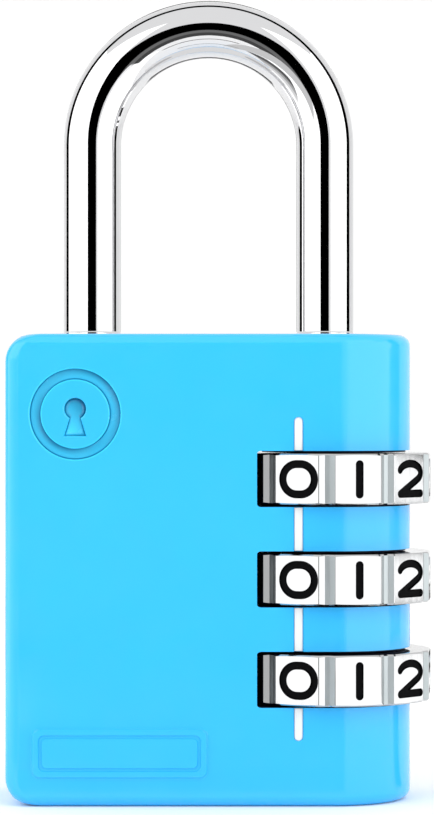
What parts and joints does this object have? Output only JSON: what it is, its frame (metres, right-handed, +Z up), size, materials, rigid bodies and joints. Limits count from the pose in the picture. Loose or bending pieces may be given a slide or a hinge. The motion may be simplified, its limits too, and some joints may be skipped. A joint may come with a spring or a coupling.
{
  "type": "combination padlock",
  "caption": "Small combination padlock: round-rod shackle, flat painted body with one half-round side, and numbered ten-sided dials on a finned spindle under the heel leg.",
  "frame": {"origin": "middle of the body's flat bottom face", "axes": "+Z up through the body towards the shackle's bow, front face towards -Y, dials on the +X side"},
  "size_m": [0.037, 0.0174, 0.0698],
  "materials": {
    "blue_paint": "gloss sky-blue paint over die-cast zinc",
    "white_enamel": "white enamel fill",
    "chrome": "mirror-bright plating on steel",
    "dial_nickel": "bright nickel plate, digits sunk and filled black",
    "sleeve_steel": "turned steel, blackened",
    "washer_steel": "plain steel",
    "spring_steel": "oiled spring steel",
    "spindle_steel": "turned steel",
    "ring_steel": "phosphated steel",
    "leaf_bronze": "phosphor bronze strip",
    "plug_zinc": "bare die-cast zinc"
  },
  "bodies": {
    "lock_body": {"body_casting": "blue_paint", "bottom_plug": "plug_zinc", "index_mark_1": "white_enamel", "index_mark_2": "white_enamel", "index_mark_3": "white_enamel", "index_mark_4": "white_enamel", "spacer_washer_top": "washer_steel", "spacer_washer_middle": "washer_steel", "thrust_washer": "washer_steel", "clutch_spring": "spring_steel", "detent_spring_top": "leaf_bronze", "detent_spring_middle": "leaf_bronze", "detent_spring_bottom": "leaf_bronze"},
    "shackle_assembly": {"shackle": "chrome", "spindle": "spindle_steel", "retaining_ring": "ring_steel"},
    "dial_top_assembly": {"dial_top": "dial_nickel", "clutch_sleeve_top": "sleeve_steel"},
    "dial_middle_assembly": {"dial_middle": "dial_nickel", "clutch_sleeve_middle": "sleeve_steel"},
    "dial_bottom_assembly": {"dial_bottom": "dial_nickel", "clutch_sleeve_bottom": "sleeve_steel"}
  },
  "joints": [
    {"name": "shackle_slide", "type": "slide", "parent": "lock_body", "child": "shackle_assembly", "axis": [0, 0, 1], "range_m": [0, 0.007]},
    {"name": "dial_top_turn", "type": "hinge", "parent": "lock_body", "child": "dial_top_assembly", "pos_m": [0.01085, 0, 0.02805], "axis": [0, 0, 1], "continuous": true},
    {"name": "dial_middle_turn", "type": "hinge", "parent": "lock_body", "child": "dial_middle_assembly", "pos_m": [0.01085, 0, 0.01947], "axis": [0, 0, 1], "continuous": true},
    {"name": "dial_bottom_turn", "type": "hinge", "parent": "lock_body", "child": "dial_bottom_assembly", "pos_m": [0.01085, 0, 0.01089], "axis": [0, 0, 1], "continuous": true}
  ]
}
